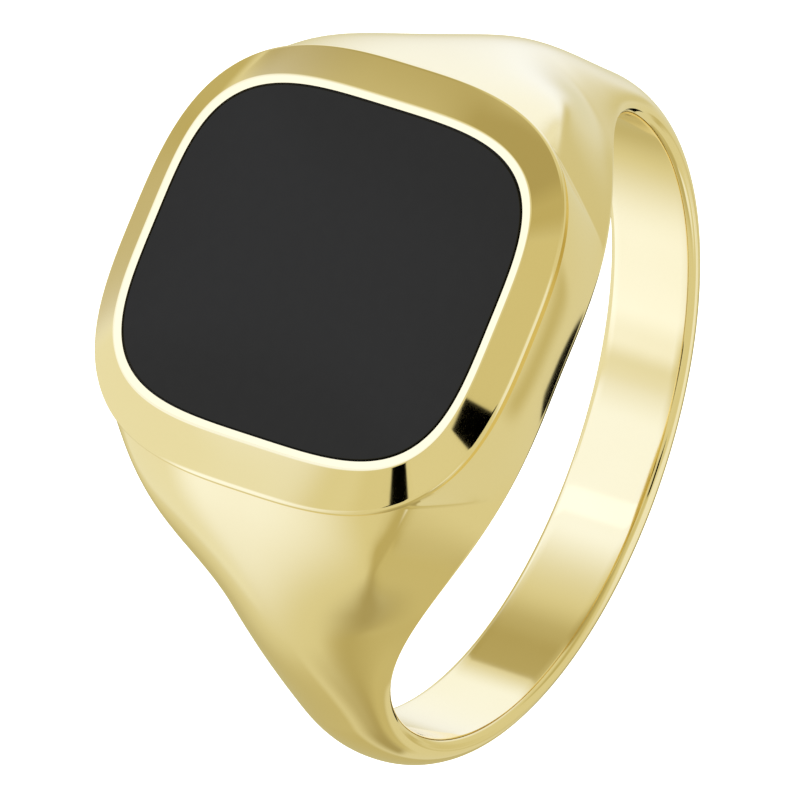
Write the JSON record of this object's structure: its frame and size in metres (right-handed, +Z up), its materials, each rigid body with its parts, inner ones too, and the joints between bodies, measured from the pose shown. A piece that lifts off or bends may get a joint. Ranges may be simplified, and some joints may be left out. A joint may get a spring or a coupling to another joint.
{
  "type": "signet ring",
  "caption": "Polished gold signet ring with wide tapered shoulders, a bevelled frame and a flat cushion-shaped black stone inlay.",
  "frame": {"origin": "centre of the finger hole, on its axis", "axes": "+Y along the finger hole, +Z up through the stone, +X and -X towards the shoulders"},
  "size_m": [0.0212, 0.0132, 0.0242],
  "materials": {
    "gold_shank": "polished yellow gold",
    "gold_solder": "gold solder",
    "gold_frame": "polished yellow gold",
    "cement": "cured stone cement",
    "onyx": "polished black onyx"
  },
  "bodies": {
    "root": {"shank": "gold_shank", "solder_seam": "gold_solder", "bezel_frame": "gold_frame", "cement_bed": "cement", "onyx_plate": "onyx"}
  },
  "joints": []
}
